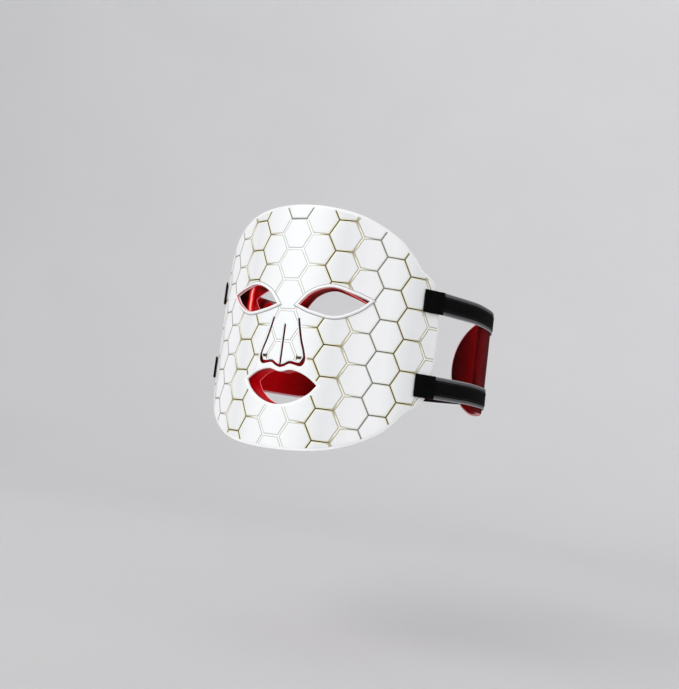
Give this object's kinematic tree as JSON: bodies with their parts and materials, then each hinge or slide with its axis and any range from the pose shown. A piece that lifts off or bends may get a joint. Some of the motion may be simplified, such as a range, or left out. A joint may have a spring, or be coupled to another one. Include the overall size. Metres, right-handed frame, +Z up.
{
  "type": "led face mask",
  "caption": "Flexible light-therapy face mask of bent silicone sheet with eye and mouth openings, nose flaps, inner light boards and hook-and-loop head straps.",
  "frame": {"origin": "centre of the wearer's head, 110 mm behind the front of the mask and level with the lower edge of the eye openings", "axes": "+Z up, the mask faces -Y, +X is the wearer's left; the part is symmetric about X = 0 apart from its power inlet"},
  "size_m": [0.2328, 0.2239, 0.1955],
  "materials": {
    "white_silicone": "satin",
    "clear_silicone": "glossy",
    "red_silicone": "glossy",
    "flex_board": "satin",
    "rigid_board": "satin",
    "grey_webbing": "matte woven",
    "black_webbing": "matte pile",
    "loop_pile": "matte pile",
    "red_pad": "soft",
    "socket_steel": "brushed"
  },
  "bodies": {
    "mask": {"cheek_board_left": "flex_board", "cheek_board_right": "flex_board", "chin_board": "flex_board", "driver_board": "rigid_board", "eye_bezel_left": "white_silicone", "eye_bezel_right": "white_silicone", "eye_shield_left": "red_silicone", "eye_shield_right": "red_silicone", "forehead_board": "flex_board", "inlet_boss": "white_silicone", "inner_liner": "clear_silicone", "jaw_jumper_left": "flex_board", "jaw_jumper_right": "flex_board", "loop_patch_lower_left": "loop_pile", "loop_patch_lower_right": "loop_pile", "loop_patch_upper_left": "loop_pile", "loop_patch_upper_right": "loop_pile", "mouth_shield": "red_silicone", "outer_shell": "white_silicone", "power_socket": "socket_steel", "rear_pad_left": "red_pad", "rear_pad_right": "red_pad", "rear_strap": "black_webbing", "strap_facing_lower_left": "black_webbing", "strap_facing_lower_right": "black_webbing", "strap_facing_upper_left": "black_webbing", "strap_facing_upper_right": "black_webbing", "strap_webbing_lower_left": "grey_webbing", "strap_webbing_lower_right": "grey_webbing", "strap_webbing_upper_left": "grey_webbing", "strap_webbing_upper_right": "grey_webbing", "temple_jumper_left": "flex_board", "temple_jumper_right": "flex_board"},
    "nose_flap_left": {"nose_flap_left": "white_silicone"},
    "nose_flap_right": {"nose_flap_right": "white_silicone"},
    "strap_tab_upper_left": {"strap_tab_upper_left": "black_webbing"},
    "strap_tab_upper_right": {"strap_tab_upper_right": "black_webbing"},
    "strap_tab_lower_left": {"strap_tab_lower_left": "black_webbing"},
    "strap_tab_lower_right": {"strap_tab_lower_right": "black_webbing"}
  },
  "joints": [
    {"name": "nose_flap_left_lift", "type": "hinge", "parent": "mask", "child": "nose_flap_left", "pos_m": [0.00597, -0.10938, 0.00614], "axis": [-0.9986, -0.0534, 0], "range_deg": [0, 35], "stiffness_Nm_per_rad": 0.01},
    {"name": "nose_flap_right_lift", "type": "hinge", "parent": "mask", "child": "nose_flap_right", "pos_m": [-0.00597, -0.10938, 0.00614], "axis": [-0.9986, 0.0534, 0], "range_deg": [0, 35], "stiffness_Nm_per_rad": 0.01},
    {"name": "strap_tab_upper_left_peel", "type": "hinge", "parent": "mask", "child": "strap_tab_upper_left", "pos_m": [0.10281, -0.05282, 0.03305], "axis": [0, 0, 1], "range_deg": [0, 110]},
    {"name": "strap_tab_upper_right_peel", "type": "hinge", "parent": "mask", "child": "strap_tab_upper_right", "pos_m": [-0.10281, -0.05282, 0.03305], "axis": [0, 0, -1], "range_deg": [0, 110]},
    {"name": "strap_tab_lower_left_peel", "type": "hinge", "parent": "mask", "child": "strap_tab_lower_left", "pos_m": [0.10281, -0.05282, -0.03387], "axis": [0, 0, 1], "range_deg": [0, 110]},
    {"name": "strap_tab_lower_right_peel", "type": "hinge", "parent": "mask", "child": "strap_tab_lower_right", "pos_m": [-0.10281, -0.05282, -0.03387], "axis": [0, 0, -1], "range_deg": [0, 110]}
  ]
}
